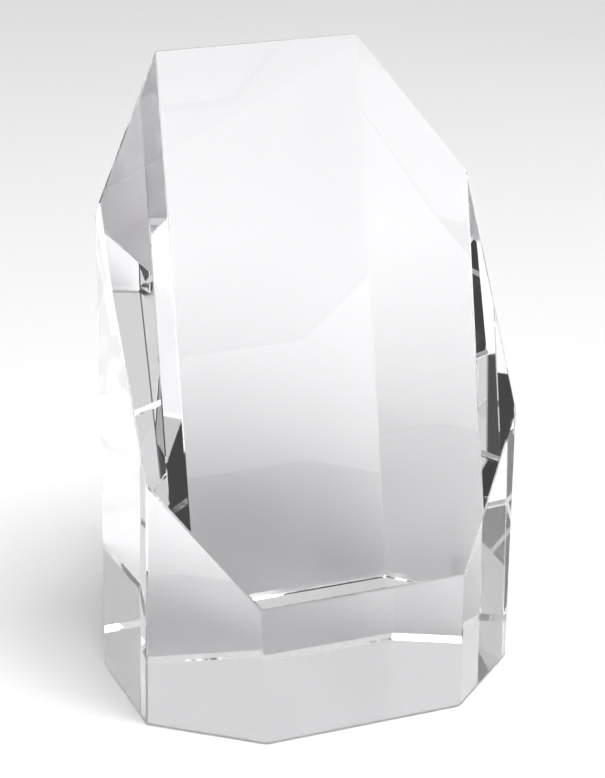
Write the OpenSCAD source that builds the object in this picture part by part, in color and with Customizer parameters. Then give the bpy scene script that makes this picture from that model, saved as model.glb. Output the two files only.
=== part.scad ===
// Slant-faced crystal award: one solid block of clear optical crystal, ground
// and polished as an eight-sided column and cut across by one large leaning
// face, the presentation face. It stands free on its flat underside.
//
// Origin: centre of the underside. +Z is up, the low front facet faces -Y,
// and the tall back facet faces +Y. All sizes are in millimetres.

/* [Overall] */
// Height of the block, at the tall back facet
height = 152; // [120:1:190]
// Width across the two side facets
width = 96.5; // [80:0.5:116]
// Depth from the front facet to the back facet
depth = 71; // [59:0.5:86]

/* [Plan] */
// Width of the front facet and of the back facet
front_facet_width = 52.1; // [43:0.1:63]
// How far each corner facet reaches along the depth
corner_reach = 19.5; // [15:0.1:24]
// How much further the front left corner facet cuts into the front facet, at the foot
front_left_trim = 1.4; // [0:0.1:4]
// How far the front left corner facet leans out of upright, in degrees
front_left_lean = 1.7; // [0:0.1:3]

/* [Presentation face] */
// Height of the front facet, where the leaning face starts
front_height = 36.1; // [26:0.1:60]
// Width of the narrow level flat along the top of the back facet
top_flat = 0.6; // [0.3:0.1:1.5]

/* [Polished edges] */
// Width of the small flat along each upright edge
upright_arris = 0.5; // [0.3:0.05:1.2]
// Width of the small flat around the leaning face
face_arris = 0.5; // [0.3:0.05:1.2]
// Width of the flat on the left edge of the leaning face at its upper end, where it is ground deeper
left_flare = 2.0; // [1.4:0.1:3]
// How far down that edge the deeper grinding runs
left_flare_length = 29; // [18:1:40]
// Height and inset of the small sloping flat around the underside
foot_arris = 1.0; // [0.4:0.1:2]

/* [Hidden] */

// Rise of the leaning face for each millimetre of depth
face_rise = (height - front_height) / (depth - top_flat);
// Angle of the leaning face above the level
face_angle = atan(face_rise);
// Side of the cutting blocks, longer than any edge of the award
cutter = 3 * height;

// Corners of the foot, anticlockwise from the front left, before the edges
// are polished
PLAN = [
    [front_left_trim - front_facet_width / 2, -depth / 2],
    [front_facet_width / 2, -depth / 2],
    [width / 2, corner_reach - depth / 2],
    [width / 2, depth / 2 - corner_reach],
    [front_facet_width / 2, depth / 2],
    [-front_facet_width / 2, depth / 2],
    [-width / 2, depth / 2 - corner_reach],
    [-width / 2, corner_reach - depth / 2]
];
sides = len(PLAN);
// The facet at the front left corner, which is cut last and leans
front_left = sides - 1;
// The facet on the left side
left_facet = front_left - 1;

// Direction a facet of the column faces: facet i runs from corner i to the next
function facet_heading(i) =
    let (run = PLAN[(i + 1) % sides] - PLAN[i % sides])
    atan2(-run[0], run[1]);

// Angle by which a facet leans outwards on its way up
function facet_lean(i) = i % sides == front_left ? front_left_lean : 0;

// The direction a facet faces, as an arrow of length one
function facet_normal(i) = [
    cos(facet_heading(i)) * cos(facet_lean(i)),
    sin(facet_heading(i)) * cos(facet_lean(i)),
    -sin(facet_lean(i))
];

// Direction the leaning face faces, as an arrow of length one
face_normal = [0, -sin(face_angle), cos(face_angle)];

// Height where the facet above corner i of the foot runs into the leaning face
function meeting_height(i) =
    (front_height + face_rise * (PLAN[i][1] + depth / 2))
    / (1 - face_rise * sin(facet_heading(i)) * tan(facet_lean(i)));

// That meeting point, carried outwards by the facet's own lean
function meeting_point(i) =
    let (z = meeting_height(i), out = z * tan(facet_lean(i)))
    [
        PLAN[i][0] + out * cos(facet_heading(i)),
        PLAN[i][1] + out * sin(facet_heading(i)),
        z
    ];

// Half of the angle the crystal fills between two faces, from their directions
function half_wedge(a, b) = (180 - acos(a * b)) / 2;

// Removes everything in front of a level plane turned to face a direction
module cut_facing(direction, point) {
    translate(point)
        rotate([0, acos(direction[2] / norm(direction)), atan2(direction[1], direction[0])])
        translate([-cutter / 2, -cutter / 2, 0])
        cube(cutter);
}

// Polishes the edge between two faces to a flat of the given width
module polish_edge(face_a, face_b, point, flat) {
    direction = (face_a + face_b) / norm(face_a + face_b);
    sink = flat / (2 * tan(half_wedge(face_a, face_b)));
    cut_facing(direction, point - direction * sink);
}

// The column before any cut, with its front left corner still square
module column() {
    linear_extrude(height = height)
        polygon([
            [-width / 2, -depth / 2],
            PLAN[1],
            PLAN[2],
            PLAN[3],
            PLAN[4],
            PLAN[5],
            PLAN[6]
        ]);
}

// The cut that leaves the leaning facet at the front left corner
module front_left_cut() {
    cut_facing(facet_normal(front_left), [PLAN[0][0], PLAN[0][1], 0]);
}

// The cut that leaves the leaning presentation face
module leaning_cut() {
    cut_facing(face_normal, [0, -depth / 2, front_height]);
}

// Small flats along the eight upright edges
module upright_cuts() {
    for (i = [0 : sides - 1]) {
        corner = PLAN[(i + 1) % sides];
        polish_edge(facet_normal(i), facet_normal(i + 1), [corner[0], corner[1], 0], upright_arris);
    }
}

// Small flats around the leaning face, all but its top edge
module face_cuts() {
    for (i = [0 : sides - 1])
        if (i != 4)
            polish_edge(
                facet_normal(i),
                face_normal,
                meeting_point(i),
                face_arris
            );
}

// The deeper flat on the left edge of the leaning face, which tapers to nothing
// on its way down
module left_flare_cut() {
    facet = facet_normal(left_facet);
    direction = (facet + face_normal) / norm(facet + face_normal);
    edge = cross(face_normal, facet);
    upwards = edge / norm(edge) * sign(edge[2]);
    sink = left_flare / (2 * tan(half_wedge(facet, face_normal)));
    cut_facing(
        direction + upwards * sink / left_flare_length,
        meeting_point(left_facet) - direction * sink
    );
}

// Sloping flats around the underside
module foot_cuts() {
    for (i = [0 : sides - 1])
        polish_edge(
            facet_normal(i),
            [0, 0, -1],
            [PLAN[i][0], PLAN[i][1], 0],
            foot_arris * sqrt(2)
        );
}

// The whole award
module crystal_block() {
    color([0.93, 0.95, 0.97, 0.35])
    difference() {
        column();
        front_left_cut();
        leaning_cut();
        upright_cuts();
        face_cuts();
        left_flare_cut();
        foot_cuts();
    }
}

crystal_block();
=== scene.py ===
"""Looks of the slant-faced crystal award: one block of clear optical crystal,
polished on every facet, on a pale studio floor."""
import math

import bmesh
import bpy
from mathutils import Matrix, Vector


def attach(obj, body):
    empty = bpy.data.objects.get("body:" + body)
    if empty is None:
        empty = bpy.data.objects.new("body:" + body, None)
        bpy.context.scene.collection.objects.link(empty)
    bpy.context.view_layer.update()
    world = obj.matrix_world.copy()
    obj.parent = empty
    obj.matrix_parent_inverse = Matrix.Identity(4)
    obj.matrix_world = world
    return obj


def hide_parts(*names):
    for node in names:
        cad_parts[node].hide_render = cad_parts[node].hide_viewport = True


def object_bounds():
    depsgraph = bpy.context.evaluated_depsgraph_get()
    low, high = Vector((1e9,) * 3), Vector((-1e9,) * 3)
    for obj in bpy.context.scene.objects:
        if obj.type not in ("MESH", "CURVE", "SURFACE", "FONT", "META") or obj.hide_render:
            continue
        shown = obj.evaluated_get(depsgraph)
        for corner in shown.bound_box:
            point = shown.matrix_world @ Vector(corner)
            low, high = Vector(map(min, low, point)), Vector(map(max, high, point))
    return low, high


MM = 0.001

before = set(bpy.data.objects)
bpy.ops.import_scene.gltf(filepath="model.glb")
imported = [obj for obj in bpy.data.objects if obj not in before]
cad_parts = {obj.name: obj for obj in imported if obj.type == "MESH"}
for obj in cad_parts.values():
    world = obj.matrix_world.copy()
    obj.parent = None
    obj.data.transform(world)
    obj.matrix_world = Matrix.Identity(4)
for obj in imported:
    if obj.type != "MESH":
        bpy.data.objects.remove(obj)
cad_low, cad_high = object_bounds()


# ---------------------------------------------------------------- colours

def linear(hex_colour):
    """An sRGB hex colour as the linear colour that shaders take."""
    out = []
    for i in (0, 2, 4):
        c = int(hex_colour[i:i + 2], 16) / 255
        out.append(c / 12.92 if c <= 0.04045 else ((c + 0.055) / 1.055) ** 2.4)
    return (*out, 1.0)


def add(tree, kind, settings=None, links=None, **attributes):
    """Adds a node, sets its attributes and inputs, and links sockets into it."""
    node = tree.nodes.new(kind)
    for name, value in attributes.items():
        setattr(node, name, value)
    for name, value in (settings or {}).items():
        node.inputs[name].default_value = value
    for name, socket in (links or {}).items():
        tree.links.new(socket, node.inputs[name])
    return node


def new_material(name):
    material = bpy.data.materials.new(name)
    material.use_nodes = True
    material.node_tree.nodes.clear()
    return material, material.node_tree


# -------------------------------------------------------------- materials

CRYSTAL_IOR = 1.54
# The wheel's ripple, from crest to crest, and its depth
RIPPLE_SPACING = 9 * MM
RIPPLE_DEPTH = 0.02 * MM
# Patches of slight haze left by the polish
HAZE_SPACING = 25 * MM
# Stone marks on the edges, wider apart than real ones, which are too fine to show
STONE_MARK_SPACING = 0.6 * MM
# The paper's mottling, in patches this wide
PAPER_MOTTLE_SPACING = 0.125


def polished_optical_crystal():
    """Clear optical crystal, ground flat and polished: sharp refraction, with a
    guess at the faint ripple and haze that a polishing wheel leaves."""
    material, tree = new_material("polished_optical_crystal")
    place = add(tree, "ShaderNodeTexCoord")
    ripple = add(tree, "ShaderNodeTexNoise", {"Scale": 1 / RIPPLE_SPACING, "Detail": 1.0},
                 {"Vector": place.outputs["Object"]})
    bump = add(tree, "ShaderNodeBump", {"Strength": 0.02, "Distance": RIPPLE_DEPTH},
               {"Height": ripple.outputs["Fac"]})
    haze = add(tree, "ShaderNodeTexNoise", {"Scale": 1 / HAZE_SPACING, "Detail": 3.0},
               {"Vector": place.outputs["Object"]})
    rough = add(tree, "ShaderNodeMapRange", {"To Min": 0.0, "To Max": 0.006},
                {"Value": haze.outputs["Fac"]})
    shader = add(
        tree, "ShaderNodeBsdfPrincipled",
        {
            "Base Color": linear("FDFCFE"),
            "IOR": CRYSTAL_IOR,
            "Transmission Weight": 1.0,
        },
        {"Roughness": rough.outputs["Result"], "Normal": bump.outputs["Normal"]},
    )
    add(tree, "ShaderNodeOutputMaterial", links={"Surface": shader.outputs["BSDF"]})
    return material


def part_polished_edge():
    """The small flats along the edges, taken to be polished less than the
    facets: they blur what they show a little, so each edge draws a soft line
    of its own."""
    material, tree = new_material("part_polished_edge")
    place = add(tree, "ShaderNodeTexCoord")
    marks = add(tree, "ShaderNodeTexNoise", {"Scale": 1 / STONE_MARK_SPACING, "Detail": 2.0},
                {"Vector": place.outputs["Object"]})
    rough = add(tree, "ShaderNodeMapRange", {"To Min": 0.01, "To Max": 0.07},
                {"Value": marks.outputs["Fac"]})
    shader = add(
        tree, "ShaderNodeBsdfPrincipled",
        {
            "Base Color": linear("FFFFFF"),
            "IOR": CRYSTAL_IOR,
            "Transmission Weight": 1.0,
        },
        {"Roughness": rough.outputs["Result"]},
    )
    add(tree, "ShaderNodeOutputMaterial", links={"Surface": shader.outputs["BSDF"]})
    return material


def pale_studio_paper(name, dark_hex, light_hex):
    """Matt white paper: plain, with the faintest mottling."""
    material, tree = new_material(name)
    place = add(tree, "ShaderNodeTexCoord")
    mottle = add(tree, "ShaderNodeTexNoise", {"Scale": 1 / PAPER_MOTTLE_SPACING, "Detail": 2.0},
                 {"Vector": place.outputs["Object"]})
    tone = add(tree, "ShaderNodeMixRGB", {"Color1": linear(dark_hex), "Color2": linear(light_hex)},
               {"Fac": mottle.outputs["Fac"]})
    shader = add(tree, "ShaderNodeBsdfPrincipled",
                 {"Roughness": 1.0, "Specular IOR Level": 0.0},
                 {"Base Color": tone.outputs["Color"]})
    add(tree, "ShaderNodeOutputMaterial", links={"Surface": shader.outputs["BSDF"]})
    return material


def white_glow(name, strength):
    """The even white front of a soft light."""
    material, tree = new_material(name)
    glow = add(tree, "ShaderNodeEmission", {"Color": linear("FFFFFF"), "Strength": strength})
    add(tree, "ShaderNodeOutputMaterial", links={"Surface": glow.outputs["Emission"]})
    return material


# ------------------------------------------------------------------ block

# Facets are all over 1000 mm2 and edge flats all under 100 mm2
EDGE_FLAT_AREA = 200 * MM * MM
# Corners closer than this are one corner
WELD_DISTANCE = 0.001 * MM
# Triangles that bend less than this belong to one facet
SAME_FACET_ANGLE = math.radians(0.3)


def polished_block(cad_node):
    """The award's block: the CAD solid with its triangles merged into true flat
    facets, so that each one refracts like one polished plane."""
    mesh = bpy.data.meshes.new("award_block")
    shape = bmesh.new()
    shape.from_mesh(cad_node.data)
    bmesh.ops.remove_doubles(shape, verts=shape.verts, dist=WELD_DISTANCE)
    bmesh.ops.dissolve_limit(shape, angle_limit=SAME_FACET_ANGLE, verts=shape.verts,
                             edges=shape.edges)
    bmesh.ops.recalc_face_normals(shape, faces=shape.faces)
    for face in shape.faces:
        face.smooth = False
        face.material_index = 1 if face.calc_area() < EDGE_FLAT_AREA else 0
    shape.to_mesh(mesh)
    shape.free()
    block = bpy.data.objects.new("award_block", mesh)
    bpy.context.scene.collection.objects.link(block)
    mesh.materials.append(polished_optical_crystal())
    mesh.materials.append(part_polished_edge())
    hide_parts("crystal_block")
    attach(block, "root")
    return block


polished_block(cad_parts["crystal_block"])


# ------------------------------------------------------------------ stage

def card(name, centre, width, height, faces, material, seen=False):
    """A flat studio card, facing a point."""
    mesh = bpy.data.meshes.new(name)
    w, h = width / 2, height / 2
    mesh.from_pydata([(-w, -h, 0), (w, -h, 0), (w, h, 0), (-w, h, 0)], [], [(0, 1, 2, 3)])
    mesh.materials.append(material)
    obj = bpy.data.objects.new(name, mesh)
    bpy.context.scene.collection.objects.link(obj)
    turn = (Vector(faces) - Vector(centre)).to_track_quat("Z", "Y")
    obj.matrix_world = Matrix.Translation(centre) @ turn.to_matrix().to_4x4()
    obj.visible_camera = seen
    return obj


# The floor lies a hair under the foot, so that the underside keeps its own air gap
FLOOR_GAP = 0.08 * MM
FLOOR_SPAN = 8.0
# Soft lights hang this far from the award
LIGHT_DISTANCE = 1.5


def softbox(name, azimuth, elevation, wide, high, level):
    """A large soft light. Azimuth 0 is behind the award, 90 to its right; wide
    and high are the angles it fills, in degrees. Level is its brightness."""
    a, e = math.radians(azimuth), math.radians(elevation)
    towards = Vector((math.sin(a) * math.cos(e), math.cos(a) * math.cos(e), math.sin(e)))
    size = [2 * LIGHT_DISTANCE * math.tan(math.radians(angle) / 2) for angle in (wide, high)]
    return card(name, towards * LIGHT_DISTANCE, *size, Vector((0, 0, 0)),
                white_glow(name, level))


card("studio_floor", (0, 0, cad_low.z - FLOOR_GAP), FLOOR_SPAN, FLOOR_SPAN, (0, 0, 1),
     pale_studio_paper("floor_paper", "E8E8E8", "EBEBEB"), seen=True)
softbox("overhead_softbox", 170, 70, 36, 26, 13.2)
softbox("back_softbox", 0, 22, 120, 60, 0.68)
softbox("left_softbox", 248, 32, 90, 44, 0.72)
softbox("front_fill", 145, 27, 30, 40, 0.40)

scene = bpy.context.scene
scene.view_settings.view_transform = "Standard"
# Light runs round inside the block many times before it leaves
INNER_BOUNCES = 24
REFLECTIONS = 20
scene.cycles.max_bounces = INNER_BOUNCES
scene.cycles.glossy_bounces = REFLECTIONS
scene.cycles.transmission_bounces = INNER_BOUNCES
ROOM_GLOW = 0.04
world = bpy.data.worlds.new("studio")
scene.world = world
world.use_nodes = True
world.node_tree.nodes["Background"].inputs["Color"].default_value = linear("FFFFFF")
world.node_tree.nodes["Background"].inputs["Strength"].default_value = ROOM_GLOW


# ----------------------------------------------------------------- camera

CAMERA_AZIMUTH = math.radians(-22.74)
CAMERA_ELEVATION = math.radians(21.78)
CAMERA_ROLL = math.radians(0.63)
CAMERA_DISTANCE = 0.6024
AIM_ABOVE_FOOT = 0.0728
AIM_BEHIND_MIDDLE = 0.0044
# Sensor height and focal length, both in millimetres
SENSOR_HEIGHT = 36.0
FOCAL_LENGTH = 114.15


def studio_camera():
    """Stands the camera in front of the award, a little to its left and above."""
    ca, sa = math.cos(CAMERA_AZIMUTH), math.sin(CAMERA_AZIMUTH)
    ce, se = math.cos(CAMERA_ELEVATION), math.sin(CAMERA_ELEVATION)
    back = Vector((sa * ce, -ca * ce, se))
    right = Vector((ca, sa, 0))
    up = back.cross(right)
    cr, sr = math.cos(CAMERA_ROLL), math.sin(CAMERA_ROLL)
    right, up = right * cr + up * sr, up * cr - right * sr
    aim = Vector((0, AIM_BEHIND_MIDDLE, cad_low.z + AIM_ABOVE_FOOT))
    data = bpy.data.cameras.new("studio_camera")
    data.sensor_fit = "VERTICAL"
    data.sensor_height = SENSOR_HEIGHT
    data.lens = FOCAL_LENGTH
    data.clip_start = 0.01
    data.clip_end = 100
    camera = bpy.data.objects.new("studio_camera", data)
    bpy.context.scene.collection.objects.link(camera)
    place = aim + back * CAMERA_DISTANCE
    camera.matrix_world = Matrix(
        (
            (right.x, up.x, back.x, place.x),
            (right.y, up.y, back.y, place.y),
            (right.z, up.z, back.z, place.z),
            (0, 0, 0, 1),
        )
    )
    bpy.context.scene.camera = camera


studio_camera()
